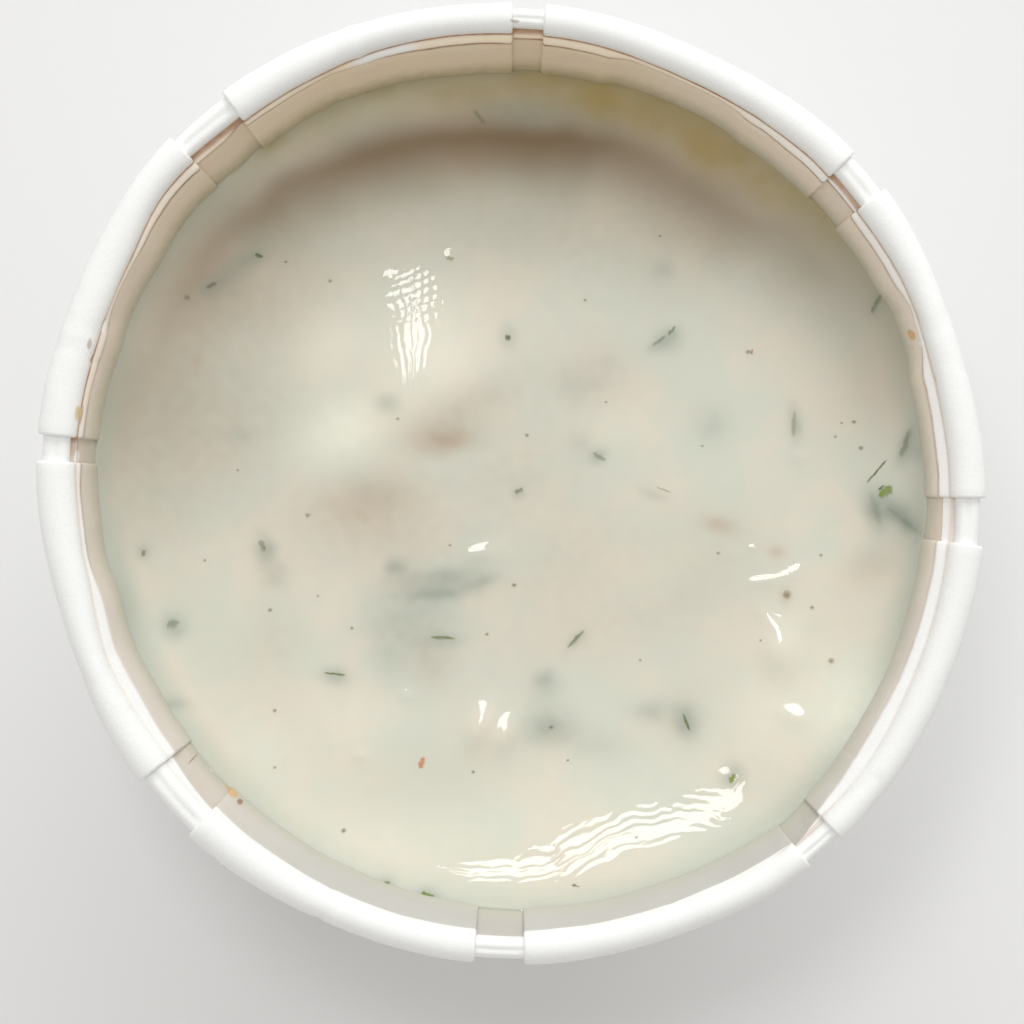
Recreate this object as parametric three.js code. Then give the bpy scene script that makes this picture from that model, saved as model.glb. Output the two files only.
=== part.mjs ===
// A pleated paper portion cup filled with ranch dressing.
// Millimetres, +Z up. The cup stands on z = 0 and the middle of its outline is the origin.
// Angles run anticlockwise from +X, seen from above.
import * as THREE from 'three';
import { mergeVertices } from 'three/addons/utils/BufferGeometryUtils.js';

// The cup as it leaves the forming die
const RIM_DIAMETER = 72.2;
const BASE_DIAMETER = 49;
const CUP_HEIGHT = 36;
const PAPER = 0.22;
const BASE_CORNER = 1.2;

// The rim: the paper is creased outwards into a narrow ledge and then curled into a roll
const ROLL_RADIUS = 1.25;
const ROLL_STARTS = 215;
const ROLL_ENDS = -75;
const ROLL_STEPS = 9;
const LEDGE_WIDTH = 0.73;
const LEDGE_RISE = 0.58;

// How wide roll and ledge are together at each angle. The ledge is pressed flat at some panels.
const RIM_WIDTHS = [
  [0, 3.42], [22, 2.6], [35, 3.1], [50, 3.0], [67, 2.45], [82, 2.85], [100, 2.9], [125, 3.1], [152, 2.85],
  [175, 3.3], [210, 3.4], [232, 2.9], [255, 2.45], [300, 2.35], [325, 3.35],
];

// The box pleats: both edges of each channel, and the sag in the middle of the panel after it
const PLEATS = [
  { from: 38.3, to: 43.9, sag: 0.45 },
  { from: 85.9, to: 89.8, sag: 0.02 },
  { from: 126.5, to: 134.5, sag: 0.38 },
  { from: 174.0, to: 177.2, sag: 0.45 },
  { from: 218.8, to: 227.5, sag: 0.21 },
  { from: 265.6, to: 271.6, sag: 0.27 },
  { from: 308.1, to: 312.9, sag: 0.15 },
  { from: 352.4, to: 358.2, sag: 0.41 },
];
const OVERLAP_AT_RIM = 5.1;
const OVERLAP_AT_BASE = 0.4;
const FOLD_WIDTH = 0.25;
const FOLD_SHARE_AT_BASE = 0.4;
const LAYERS_START = 0.02;
const LAYERS_FADE_IN = 0.14;
const MIDDLE_OF_WALL = 0.55;

// The rim has been squeezed a little out of round
const OVAL = 0.42;
const OVAL_AT = 117;
const SQUARENESS = 0.16;

// The dressing
const LEVEL = 27.8;
const CLEARANCE = 0.3;

// The level at which its edge meets the wall at each angle, and how far out the climb starts
const EDGE_LEVELS = [
  [0, 31.2], [30, 30.2], [60, 29.2], [90, 28.1], [120, 28.7], [145, 29.4], [170, 31.0], [195, 30.4],
  [215, 29.9], [235, 29.0], [255, 29.4], [275, 30.3], [300, 30.3], [325, 31.6], [345, 31.1],
];
const EDGE_REACH = 3.4;

// On the far side a spoon has left a trough along a bank of dressing against the wall
const TROUGH = { at: 84, spread: 62, depth: 1.1, fromWall: 6.0, width: 2.8 };

// Mounds and hollows left by the spoon, and the coated lump: middle, half widths, turn, height
const RELIEF = [
  { name: 'spoon mound', x: -7.8, y: 8.4, long: 8.0, wide: 5.4, turn: 20, height: 1.25 },
  { name: 'left mound', x: -13.2, y: 3.6, long: 5.5, wide: 3.6, turn: 20, height: 0.45 },
  { name: 'spoon hollow', x: -5.0, y: 3.4, long: 4.5, wide: 2.2, turn: 10, height: -0.6 },
  { name: 'coated lump', x: -5.2, y: -7.0, long: 3.9, wide: 1.7, turn: 4, height: 0.6 },
  { name: 'right swell', x: 17.5, y: -10.0, long: 8.0, wide: 5.5, turn: 70, height: 0.6 },
];

const DRESSING_SIDES = 72;
const DRESSING_RINGS = 14;
const RING_CROWDING = 0.9;

const { degToRad, lerp, smoothstep, clamp } = THREE.MathUtils;
const TURN = 360;
const NO_MOVE_RADIUS = BASE_DIAMETER / 4;
const rollCentre = new THREE.Vector2(RIM_DIAMETER / 2 - ROLL_RADIUS, CUP_HEIGHT - ROLL_RADIUS);

// A point on the outside of the roll, at an angle from the outward direction
function onRoll(degrees) {
  const angle = degToRad(degrees);
  return new THREE.Vector2(Math.cos(angle), Math.sin(angle)).multiplyScalar(ROLL_RADIUS).add(rollCentre);
}

// Reads a list of [angle, value] marks round the cup, with a smooth curve from each to the next
function roundTheRim(marks, degrees) {
  const angle = THREE.MathUtils.euclideanModulo(degrees, TURN);
  for (let index = 0; index < marks.length; index += 1) {
    const [from, value] = marks[index];
    const [to, nextValue] = index + 1 < marks.length ? marks[index + 1] : [marks[0][0] + TURN, marks[0][1]];
    if (angle < to) {
      return lerp(value, nextValue, smoothstep(angle, from, to));
    }
  }
  return marks[0][1];
}

// How far the top of the wall stands out from its place in the section, where the ledge is narrower
function mouthShift(degrees) {
  return RIM_DIAMETER / 2 - onRoll(ROLL_STARTS).x + LEDGE_WIDTH - roundTheRim(RIM_WIDTHS, degrees);
}

// The food side of the paper in section, from the middle of the base to the tip of the roll
function paperPath() {
  const ledgeTop = onRoll(ROLL_STARTS);
  const wallTop = ledgeTop.clone().sub(new THREE.Vector2(LEDGE_WIDTH, LEDGE_RISE));
  const baseEdge = new THREE.Vector2(BASE_DIAMETER / 2 - PAPER, PAPER);
  const up = wallTop.clone().sub(baseEdge).normalize();
  const cornerStart = baseEdge.clone().sub(new THREE.Vector2(BASE_CORNER, 0));
  const cornerEnd = baseEdge.clone().addScaledVector(up, BASE_CORNER);
  const corner = new THREE.QuadraticBezierCurve(cornerStart, baseEdge, cornerEnd).getPoints(2);
  const lowWall = cornerEnd.clone().lerp(wallTop, LAYERS_FADE_IN);
  const midWall = cornerEnd.clone().lerp(wallTop, MIDDLE_OF_WALL);
  const roll = [];
  for (let step = 0; step <= ROLL_STEPS; step += 1) {
    roll.push(onRoll(lerp(ROLL_STARTS, ROLL_ENDS, step / ROLL_STEPS)));
  }
  return [new THREE.Vector2(0, PAPER), ...corner, lowWall, midWall, wallTop, ...roll];
}

// The direction away from the food at each point of the path
function awayFromFood(path) {
  return path.map((point, index) => {
    const before = path[Math.max(index - 1, 0)];
    const after = path[Math.min(index + 1, path.length - 1)];
    const along = after.clone().sub(before).normalize();
    return new THREE.Vector2(along.y, -along.x);
  });
}

// How far the squeezed rim stands out of round at an angle
function outOfRound(degrees) {
  const oval = OVAL * Math.cos(2 * degToRad(degrees - OVAL_AT));
  const square = -SQUARENESS * Math.cos(4 * degToRad(degrees));
  return oval + square - panelSag(degrees);
}

// A panel between two pleats is pulled flat, most of all in the middle
function panelSag(degrees) {
  for (let index = 0; index < PLEATS.length; index += 1) {
    const start = PLEATS[index].to;
    const nextStart = PLEATS[(index + 1) % PLEATS.length].from;
    const width = THREE.MathUtils.euclideanModulo(nextStart - start, TURN);
    const into = THREE.MathUtils.euclideanModulo(degrees - start, TURN);
    if (into < width) {
      return PLEATS[index].sag * Math.sin(Math.PI * into / width) ** 2;
    }
  }
  return 0;
}

// Stations round the cup. Each holds an angle that may move with height, how many layers lie
// on the food side of the paper there, and how many layers reach out to its other side.
function pleatStations() {
  const stations = [];
  const overlapAt = (height) => lerp(OVERLAP_AT_BASE, OVERLAP_AT_RIM, height);
  const edge = (degrees, overlaps, shift, inner, outer) => {
    const angleAt = (height, radius) => {
      const offset = overlaps * overlapAt(height) + shift * FOLD_WIDTH * lerp(FOLD_SHARE_AT_BASE, 1, height);
      return degToRad(degrees) + offset / radius;
    };
    stations.push({ angleAt, inner, outer });
  };
  PLEATS.forEach((pleat, index) => {
    edge(pleat.from, -1, -0.5, 0, 1);
    edge(pleat.from, -1, 0.5, 0, 3);
    edge(pleat.from, 0, -0.5, 0, 3);
    edge(pleat.from, 0, 0.5, 2, 3);
    edge((pleat.from + pleat.to) / 2, 0, 0, 2, 3);
    edge(pleat.to, 0, -0.5, 2, 3);
    edge(pleat.to, 0, 0.5, 0, 3);
    edge(pleat.to, 1, -0.5, 0, 3);
    edge(pleat.to, 1, 0.5, 0, 1);
    const next = PLEATS[(index + 1) % PLEATS.length];
    const panel = THREE.MathUtils.euclideanModulo(next.from - pleat.to, TURN);
    const panelStations = 3;
    for (let step = 1; step <= panelStations; step += 1) {
      const share = step / (panelStations + 1);
      edge(pleat.to + panel * share, 1 - 2 * share, 0, 0, 1);
    }
  });
  return stations;
}

// The cup: the paper's two faces, lathed round and then moved out to the pleats' layers
function cupGeometry() {
  const path = paperPath();
  const normals = awayFromFood(path);
  const stations = pleatStations();
  const count = path.length;
  const outerFace = path.map((point, index) => point.clone().addScaledVector(normals[index], PAPER));
  outerFace[0].x = 0;
  const geometry = new THREE.LatheGeometry([...outerFace, ...path.slice().reverse()], stations.length);
  const position = geometry.attributes.position;
  for (let vertex = 0; vertex < position.count; vertex += 1) {
    const around = Math.floor(vertex / (2 * count)) % stations.length;
    const along = vertex % (2 * count);
    const isOuter = along < count;
    const index = isOuter ? along : 2 * count - 1 - along;
    const station = stations[around];
    const point = path[index];
    const height = clamp(point.y / CUP_HEIGHT, 0, 1);
    const folded = smoothstep(height, LAYERS_START, LAYERS_FADE_IN);
    const plainLayers = isOuter ? 1 : 0;
    const layers = lerp(plainLayers, isOuter ? station.outer : station.inner, folded);
    const angle = station.angleAt(height, Math.max(point.x, NO_MOVE_RADIUS));
    const degrees = THREE.MathUtils.radToDeg(angle);
    const wider = index < count - 1 - ROLL_STEPS ? mouthShift(degrees) * height : 0;
    const moved = outOfRound(degrees) * height * Math.sqrt(height) + wider;
    const radius = index === 0 ? 0 : point.x + normals[index].x * PAPER * layers + moved;
    const level = point.y + normals[index].y * PAPER * layers;
    position.setXYZ(vertex, radius * Math.cos(angle), radius * Math.sin(angle), level);
  }
  return closedMesh(geometry);
}

// The food side of the wall at a height, without the channels
function wallRadius(degrees, level) {
  const ledgeTop = onRoll(ROLL_STARTS);
  const top = ledgeTop.y - LEDGE_RISE;
  const height = level / CUP_HEIGHT;
  const cone = lerp(BASE_DIAMETER / 2 - PAPER, ledgeTop.x - LEDGE_WIDTH, (level - PAPER) / (top - PAPER));
  return cone + outOfRound(degrees) * height * Math.sqrt(height) + mouthShift(degrees) * height;
}

// How deep the trough is at an angle, from 0 to 1
function troughAt(degrees) {
  const apart = Math.abs(THREE.MathUtils.euclideanModulo(degrees - TROUGH.at + TURN / 2, TURN) - TURN / 2);
  return 1 - smoothstep(apart, 0, TROUGH.spread);
}

// The dressing's surface: level in the middle, climbing at the wall, with the spoon's relief
function surfaceLevel(x, y, degrees, fromWall) {
  const climb = Math.exp(-fromWall / EDGE_REACH);
  const trough = troughAt(degrees) * Math.exp(-(((fromWall - TROUGH.fromWall) / TROUGH.width) ** 2));
  let level = lerp(LEVEL, roundTheRim(EDGE_LEVELS, degrees), climb) - TROUGH.depth * trough;
  for (const mark of RELIEF) {
    const turn = degToRad(mark.turn);
    const along = (x - mark.x) * Math.cos(turn) + (y - mark.y) * Math.sin(turn);
    const across = (y - mark.y) * Math.cos(turn) - (x - mark.x) * Math.sin(turn);
    level += mark.height * (1 - climb) * Math.exp(-((along / mark.long) ** 2 + (across / mark.wide) ** 2));
  }
  return level;
}

// The dressing: a solid lathed to the cup's inside and lifted to its uneven surface
function dressingGeometry() {
  const floor = PAPER + CLEARANCE;
  const sideLevels = [floor + BASE_CORNER, LEVEL / 2];
  const count = 2 + sideLevels.length + DRESSING_RINGS + 1;
  const profile = new Array(count).fill(0).map((unused, index) => {
    const onAxis = index === 0 || index === count - 1;
    return new THREE.Vector2(onAxis ? 0 : 1, index);
  });
  const geometry = new THREE.LatheGeometry(profile, DRESSING_SIDES);
  const position = geometry.attributes.position;
  for (let vertex = 0; vertex < position.count; vertex += 1) {
    const degrees = (Math.floor(vertex / count) % DRESSING_SIDES) * TURN / DRESSING_SIDES;
    const along = vertex % count;
    const edgeLevel = roundTheRim(EDGE_LEVELS, degrees);
    let radius = 0;
    let level = floor;
    if (along === 1) {
      radius = wallRadius(degrees, floor) - CLEARANCE - BASE_CORNER;
    } else if (along > 1 && along < 2 + sideLevels.length) {
      level = sideLevels[along - 2];
      radius = wallRadius(degrees, level) - CLEARANCE;
    } else if (along > 1) {
      const share = 1 - (along - 2 - sideLevels.length) / DRESSING_RINGS;
      const edgeRadius = wallRadius(degrees, edgeLevel) - CLEARANCE;
      radius = edgeRadius * Math.sin(share * Math.PI / 2) ** RING_CROWDING;
      const x = radius * Math.cos(degToRad(degrees));
      const y = radius * Math.sin(degToRad(degrees));
      level = surfaceLevel(x, y, degrees, edgeRadius - radius);
    }
    const angle = degToRad(degrees);
    position.setXYZ(vertex, radius * Math.cos(angle), radius * Math.sin(angle), level);
  }
  return closedMesh(geometry);
}

// One closed body: only positions are kept, and vertices that meet become one
function closedMesh(geometry) {
  geometry.deleteAttribute('normal');
  geometry.deleteAttribute('uv');
  const merged = mergeVertices(geometry, 1e-4);
  const corners = merged.index.array;
  const kept = [];
  for (let start = 0; start < corners.length; start += 3) {
    const [a, b, c] = [corners[start], corners[start + 1], corners[start + 2]];
    if (a !== b && b !== c && c !== a) {
      kept.push(a, b, c);
    }
  }
  merged.setIndex(kept);
  merged.computeVertexNormals();
  return merged;
}

const paper = new THREE.MeshStandardMaterial({ color: '#f2f2ee', roughness: 0.85, metalness: 0 });
const dressing = new THREE.MeshStandardMaterial({ color: '#dad5c1', roughness: 0.2, metalness: 0 });

const cup = new THREE.Mesh(cupGeometry(), paper);
cup.name = 'paper_cup';

const filling = new THREE.Mesh(dressingGeometry(), dressing);
filling.name = 'ranch_dressing';

const contents = new THREE.Group();
contents.add(cup, filling);

// The uneven outline is centred on the origin
const middle = new THREE.Box3().setFromObject(contents).getCenter(new THREE.Vector3());
contents.position.set(-middle.x, -middle.y, 0);

const part = new THREE.Group();
part.add(contents);

export default part;
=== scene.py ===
# %% [markdown]
# # A paper portion cup of ranch dressing
# The object is a pleated white paper cup, 72 mm across its rolled rim, filled almost to the brim with a
# creamy dressing. The imported model gives its size and place. This lesson rebuilds both of its pieces as
# finer meshes and then adds what the solids leave out: the chopped herbs, the pepper, the stains that the
# dressing left on the paper, and some painted shade and light on the paper and the cream.

# %% Load the imported model
import math
from collections import namedtuple
from functools import lru_cache

import bmesh
import bpy
from mathutils import Matrix, Vector, noise


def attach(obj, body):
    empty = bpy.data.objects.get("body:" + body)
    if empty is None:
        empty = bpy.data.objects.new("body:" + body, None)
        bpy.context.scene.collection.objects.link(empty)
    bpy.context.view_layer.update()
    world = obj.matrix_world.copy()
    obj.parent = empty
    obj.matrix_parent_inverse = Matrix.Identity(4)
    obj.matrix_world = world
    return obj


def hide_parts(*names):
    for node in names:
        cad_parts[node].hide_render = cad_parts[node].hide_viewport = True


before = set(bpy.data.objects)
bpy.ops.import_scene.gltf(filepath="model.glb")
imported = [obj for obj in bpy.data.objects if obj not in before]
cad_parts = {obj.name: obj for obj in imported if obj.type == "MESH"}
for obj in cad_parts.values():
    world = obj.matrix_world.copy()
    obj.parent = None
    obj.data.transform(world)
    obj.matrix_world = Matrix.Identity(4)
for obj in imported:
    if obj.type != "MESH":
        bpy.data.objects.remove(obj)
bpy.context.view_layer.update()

MM = 0.001

# %% [markdown]
# ## Sizes
# The paper is 0.22 mm thick and folded flat at eight box pleats. Each pleat leaves a narrow channel between
# two wide panels. Its edges and the sag of the panel after it are the few numbers that give the rim its
# uneven outline, and everything else on the cup is worked out from them. All sizes here are millimetres and
# all angles are degrees, anticlockwise from +X, and a mesh is scaled to metres only when it is finished.

# %% The cup's driving sizes
RIM_RADIUS = 36.1
BASE_RADIUS = 24.5
CUP_HEIGHT = 36.0
PAPER = 0.22
BASE_CORNER = 1.2
OVERLAP_AT_RIM = 5.1
OVERLAP_AT_BASE = 0.4
OVAL = 0.42
OVAL_AT = 117
SQUARENESS = 0.16

Pleat = namedtuple("Pleat", "start end sag")
PLEATS = [Pleat(*row) for row in [
    (38.3, 43.9, 0.45), (85.9, 89.8, 0.02), (126.5, 134.5, 0.38), (174, 177.2, 0.45), (218.8, 227.5, 0.21),
    (265.6, 271.6, 0.27), (308.1, 312.9, 0.15), (352.4, 358.2, 0.41),
]]
print(len(PLEATS), "pleats, channels", [round(p.end - p.start, 1) for p in PLEATS], "degrees wide")


# %% Small helpers for shapes
def mix(a, b, share):
    """A value a share of the way from a to b."""
    return a + (b - a) * share


def smooth(low, high, value):
    """0 below low, 1 above high, and an even curve between them."""
    share = min(max((value - low) / (high - low), 0.0), 1.0)
    return share * share * (3 - 2 * share)


def apart(a, b):
    """The angle from b to a, from -180 to 180 degrees."""
    return (a - b + 180) % 360 - 180


def round_the_rim(marks, degrees):
    """Reads a list of (angle, value) marks round the cup, with a smooth curve from each to the next."""
    degrees %= 360
    for (here, value), (there, following) in zip(marks, marks[1:] + [(marks[0][0] + 360, marks[0][1])]):
        if here <= degrees < there:
            return mix(value, following, smooth(here, there, degrees))
    return marks[-1][1]


def panel_sag(degrees):
    """How far a panel between two pleats is pulled flat at an angle."""
    for pleat, following in zip(PLEATS, PLEATS[1:] + PLEATS[:1]):
        width = (following.start - pleat.end) % 360
        into = (degrees - pleat.end) % 360
        if into < width:
            return pleat.sag * math.sin(math.pi * into / width) ** 2
    return 0.0


def out_of_round(degrees):
    """How far the squeezed rim stands out from a true circle at an angle."""
    oval = OVAL * math.cos(2 * math.radians(degrees - OVAL_AT))
    return oval - SQUARENESS * math.cos(4 * math.radians(degrees)) - panel_sag(degrees)


def squeezed(degrees, level):
    """The same at a height on the cup, fading away to the stiff round base."""
    return out_of_round(degrees) * (max(level, 0.0) / CUP_HEIGHT) ** 1.5


outline = [out_of_round(degrees) for degrees in range(360)]
print("the outline stands out by", round(min(outline), 2), "to", round(max(outline), 2), "mm")

# %% [markdown]
# ## The paper in section
# Going up the food side, the paper leaves the base with a small round corner, climbs as a plain cone, is
# creased outwards into a narrow ledge and then curls over into the roll. On the real cup the crease is sharp
# beside some pleats and pressed flat in the middle of other panels, and the roll is wider here and narrower
# there, so these three are lists of marks round the rim, measured on the photograph.

# %% Crease, ledge and roll
CREASE = [
    (0, 0.75), (14, 0.7), (20, 0.8), (26, 0.9), (60, 1), (100, 1), (128, 1), (148, 0.8), (156, 0.5),
    (163, 0.8), (174, 0.7), (183, 0.4), (200, 0.4), (214, 0.5), (230, 0.1), (302, 0.1), (318, 0.45),
    (335, 0.55), (350, 0.65),
]
LEDGE_WIDTHS = [
    (0, 0.72), (14, 0.66), (19, 0.12), (24, 0.08), (28, 0.45), (38, 0.42), (47, 0.42), (56, 0.4),
    (60, 0.08), (74, 0.08), (78, 0.45), (88, 0.5), (97, 0.55), (105, 0.42), (111, 0.3), (114, 0.1),
    (127, 0.14), (130, 0.42), (138, 0.42), (146, 0.25), (150, 0.08), (156, 0.08), (161, 0.42), (172, 0.3),
    (180, 0.25), (190, 0.3), (197, 0.7), (207, 0.85), (217, 0.6), (227, 0.2), (236, 0.06), (307, 0.06),
    (316, 0.65), (323, 0.95), (336, 0.78), (350, 0.75),
]
ROLL_WIDTHS = [
    (0, 2.67), (25, 2.32), (38, 2.72), (50, 2.6), (65, 2.4), (80, 2.34), (105, 2.24), (118, 2.6),
    (128, 2.75), (140, 2.42), (150, 2.8), (170, 2.95), (182, 2.95), (191, 2.75), (203, 2.25), (218, 2.9),
    (230, 2.85), (250, 2.42), (275, 2.5), (295, 2.34), (320, 2.34), (335, 2.55), (350, 2.63),
]
ROLL_HALF_HEIGHT = 1.25
ROLL_ENDS = -75
OPEN_START, CREASED_START = 170, 193
LEDGE_RISE_OPEN, LEDGE_RISE_CREASED = 0.25, 0.55
BASE_ROWS, CORNER_ROWS, WALL_ROWS, LEDGE_ROWS, ROLL_ROWS = 4, 5, 14, 7, 28
WALL_TOP_ROW = BASE_ROWS + CORNER_ROWS + WALL_ROWS
LEDGE_TOP_ROW = WALL_TOP_ROW + LEDGE_ROWS
LEDGE_SWELL, LEDGE_WANDER, CREASE_WIDENS, NARROWEST_LEDGE = 0.1, 0.08, 0.25, 0.05
ROWS_CROWD_UPWARDS = 1.7
GROOVE = 0.09
PRESSED = 0.5


def roll_at(degrees):
    """The roll's middle, its half width and the angle on it at which it starts."""
    half_width = round_the_rim(ROLL_WIDTHS, degrees) / 2
    start = mix(OPEN_START, CREASED_START, round_the_rim(CREASE, degrees))
    return Vector((RIM_RADIUS - half_width, CUP_HEIGHT - ROLL_HALF_HEIGHT)), half_width, start


def on_roll(centre, half_width, angle):
    """A point on the roll's outside."""
    turn = math.radians(angle)
    return centre + Vector((half_width * math.cos(turn), ROLL_HALF_HEIGHT * math.sin(turn)))


def wall_top(degrees):
    """Where the wall ends and the ledge begins."""
    ledge_top = on_roll(*roll_at(degrees))
    crease = round_the_rim(CREASE, degrees)
    wander = noise.noise(Vector((degrees / 6.0, 3.1, 0.4))) * LEDGE_WANDER
    width = round_the_rim(LEDGE_WIDTHS, degrees) + CREASE_WIDENS * crease + wander
    rise = mix(LEDGE_RISE_OPEN, LEDGE_RISE_CREASED, crease)
    return ledge_top - Vector((max(width, NARROWEST_LEDGE), rise))


def section(degrees):
    """The food side of the paper at an angle, from the middle of the base to the tip of the roll."""
    centre, half_width, start = roll_at(degrees)
    crease = round_the_rim(CREASE, degrees)
    edge = Vector((BASE_RADIUS - PAPER, PAPER))
    top = wall_top(degrees)
    up = (top - edge).normalized()
    inner, outer = edge - Vector((BASE_CORNER, 0)), edge + up * BASE_CORNER
    path = [Vector((inner.x * row / BASE_ROWS, PAPER)) for row in range(BASE_ROWS)]
    for row in range(CORNER_ROWS):
        share = row / CORNER_ROWS
        path.append(inner.lerp(edge, share).lerp(edge.lerp(outer, share), share))
    for row in range(WALL_ROWS):
        path.append(outer.lerp(top, 1 - (1 - row / WALL_ROWS) ** ROWS_CROWD_UPWARDS))
    path.append(top + Vector((GROOVE * crease, 0)))
    ledge_top = on_roll(centre, half_width, start)
    for row in range(1, LEDGE_ROWS):
        share = row / LEDGE_ROWS
        swell = LEDGE_SWELL * math.sin(math.pi * share) * crease
        path.append(top.lerp(ledge_top, share) + Vector((-swell, swell)))
    for row in range(ROLL_ROWS + 1):
        path.append(on_roll(centre, half_width, mix(start, ROLL_ENDS, row / ROLL_ROWS)))
    return path


def away_from_food(path):
    """The direction through the paper, away from the food, at each point of a section."""
    directions = []
    for index in range(len(path)):
        along = path[min(index + 1, len(path) - 1)] - path[max(index - 1, 0)]
        directions.append(Vector((along.y, -along.x)).normalized())
    return directions


PATH_ROWS = len(section(0))
print("the section has", PATH_ROWS, "points on each face of the paper")

# %% [markdown]
# ## The pleats
# At a pleat the paper lies in three layers. Its inner folds are the edges of the channel, where the wide
# panels end in a rounded nose two layers thick. Its outer folds lie further out on the other face, because
# the hidden layer between them is wider at the rim, where the flat disc had more paper to lose. Each column
# of the mesh states where it stands and which layers its two faces lie on, so the noses can even hang a
# little over the crack beneath them.

# %% Columns round the cup
Column = namedtuple("Column", "degrees reach inner_shift inner_layer outer_shift outer_layer")
NOSE_ANGLES = [90, 62, 34, 6, -22, -48, -68]
CHANNEL_COLUMNS = 6
OVERLAP_COLUMNS = 5
PANEL_COLUMNS = 22


def nose(middle_layer, points_to, into_paper):
    """A rounded fold as (shift, layer) pairs, from its upper side round to the crack below it."""
    pairs = []
    for angle in map(math.radians, NOSE_ANGLES):
        shift = points_to * PAPER * (math.cos(angle) - 1)
        pairs.append((shift, middle_layer - into_paper * math.sin(angle)))
    pairs.append((points_to * PAPER * 0.3, middle_layer + into_paper))
    return pairs


def spread(count, width):
    """Even shifts across a fold for the face that has no fold there."""
    return [mix(-width, width, index / (count - 1)) for index in range(count)]


def pleat_columns(pleat, following):
    """The columns of one pleat and of the panel that follows it."""
    columns = []
    shares = [index / (OVERLAP_COLUMNS + 1) for index in range(1, OVERLAP_COLUMNS + 1)]
    plain = spread(len(NOSE_ANGLES) + 1, PAPER)
    outer = list(reversed(nose(2, -1, -1)))
    columns += [Column(pleat.start, -1, s, 0, *pair) for s, pair in zip(plain, outer)]
    columns += [Column(pleat.start, share - 1, 0, 0, 0, 3) for share in shares]
    columns += [Column(pleat.start, 0, *pair, s, 3) for s, pair in zip(plain, nose(1, 1, 1))]
    for index in range(1, CHANNEL_COLUMNS + 1):
        columns.append(Column(mix(pleat.start, pleat.end, index / (CHANNEL_COLUMNS + 1)), 0, 0, 2, 0, 3))
    columns += [Column(pleat.end, 0, *pair, s, 3) for s, pair in zip(plain, reversed(nose(1, -1, 1)))]
    columns += [Column(pleat.end, share, 0, 0, 0, 3) for share in shares]
    columns += [Column(pleat.end, 1, s, 0, *pair) for s, pair in zip(plain, nose(2, 1, -1))]
    panel = (following.start - pleat.end) % 360
    for index in range(1, PANEL_COLUMNS + 1):
        share = index / (PANEL_COLUMNS + 1)
        columns.append(Column(pleat.end + panel * share, 1 - 2 * share, 0, 0, 0, 1))
    return columns


COLUMNS = [column for pair in zip(PLEATS, PLEATS[1:] + PLEATS[:1]) for column in pleat_columns(*pair)]
print(len(COLUMNS), "columns round the cup")

# %% [markdown]
# ## Wrapping the paper
# A flat grid stands for the sheet. Every vertex knows its column and row, and is moved to where that spot of
# the paper lies on the finished cup, so the grid wraps into a closed ring. Merging the vertices that meet
# closes the seam and the middle of the base. The small dents and waves that handling leaves come last, along
# the same direction through the paper, so that both faces move together.

# %% Dents, waves and the wrapped grid
Dent = namedtuple("Dent", "degrees slant width depth")
DENTS = [Dent(*row) for row in [
    (14, 1.5, 0.5, 0.07), (22, -2, 0.7, 0.06), (57, 3, 0.6, 0.06), (109.5, 0.5, 0.7, -0.10),
    (159, 1, 0.5, 0.08), (163.3, -0.6, 0.35, 0.10), (204, 2, 0.6, 0.08), (246, 0.8, 0.5, 0.14),
    (290.5, -1, 0.5, 0.06), (306.5, -2.5, 0.6, 0.12), (317, 4, 0.8, 0.08), (335, 3, 0.6, 0.05),
]]
RIM_STARTS = 33.2
PAPER_WAVES = [(7.0, 0.10, 0.05), (2.2, 0.02, 0.035), (0.8, 0.0, 0.008)]
LAYERS_START = 0.02
LAYERS_FADE_IN = 0.14
PINCH = 0.16
PINCH_AT = 0.36
PINCH_WIDTH = 0.07
MEETS_WITHIN = 1e-4


def layer_thickness(level):
    """The paper is pressed thinner in the wall, where the pleats lie flat, than in the rim."""
    return PAPER * mix(PRESSED, 1, smooth(RIM_STARTS - 2.0, RIM_STARTS + 0.3, level))


def paper_push(degrees, point):
    """How far the paper is pushed through its own face at a spot, by waves and dents."""
    spot = Vector((math.cos(math.radians(degrees)), math.sin(math.radians(degrees)), 0)) * point.x
    spot.z = point.y
    rim = smooth(RIM_STARTS - 1.5, RIM_STARTS + 0.5, point.y)
    push = sum(noise.noise(spot / size) * mix(in_wall, in_rim, rim) for size, in_wall, in_rim in PAPER_WAVES)
    climb = point.y - (CUP_HEIGHT - 1)
    for dent in DENTS:
        off = apart(degrees, dent.degrees + dent.slant * climb) / dent.width
        if abs(off) < 3:
            push += rim * dent.depth * math.exp(-off * off)
    return push * smooth(0.5, 6.0, point.y)


def wrap(around, along, place, names):
    """A grid moved to place(column, row) and closed where it meets, with a number per vertex for each name."""
    mesh = bmesh.new()
    layers = [mesh.verts.layers.float.new(name) for name in names]
    bmesh.ops.create_grid(mesh, x_segments=around, y_segments=along, size=1)
    for vertex in mesh.verts:
        column = round((vertex.co.x + 1) / 2 * around) % around
        row = round((vertex.co.y + 1) / 2 * along)
        vertex.co, values = place(column, row)
        for layer, value in zip(layers, values):
            vertex[layer] = value
    bmesh.ops.remove_doubles(mesh, verts=mesh.verts, dist=MEETS_WITHIN)
    bmesh.ops.dissolve_degenerate(mesh, edges=mesh.edges, dist=MEETS_WITHIN / 10)
    bmesh.ops.recalc_face_normals(mesh, faces=mesh.faces)
    return mesh
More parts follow.
